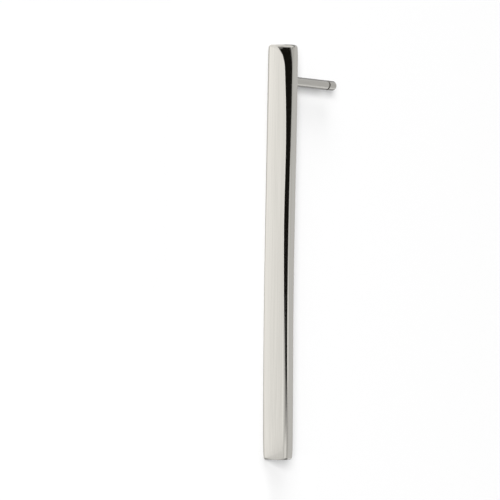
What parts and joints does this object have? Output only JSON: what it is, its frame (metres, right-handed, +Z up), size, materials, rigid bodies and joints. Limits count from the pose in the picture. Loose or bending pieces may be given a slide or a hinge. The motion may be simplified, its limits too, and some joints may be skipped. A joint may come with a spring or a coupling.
{
  "type": "bar stud earring",
  "caption": "Long straight polished bar stud earring: a rectangular steel bar with softly rounded edges and a grooved post welded to its back near its upper end.",
  "frame": {"origin": "bottom centre of the earring's box as it lies on one long side of its bar, on the surface that it lies on", "axes": "+X along the bar, from its upper end with the post to its lower end; +Y out of the bar's back, along the post, so the polished front looks towards -Y; +Z up from the surface, across the bar's width"},
  "size_m": [0.034, 0.0126, 0.0022],
  "materials": {
    "polished_steel": "mirror-polished stainless steel, with faint lengthwise polishing lines on its sides"
  },
  "bodies": {
    "root": {"bar_with_post": "polished_steel"}
  },
  "joints": []
}
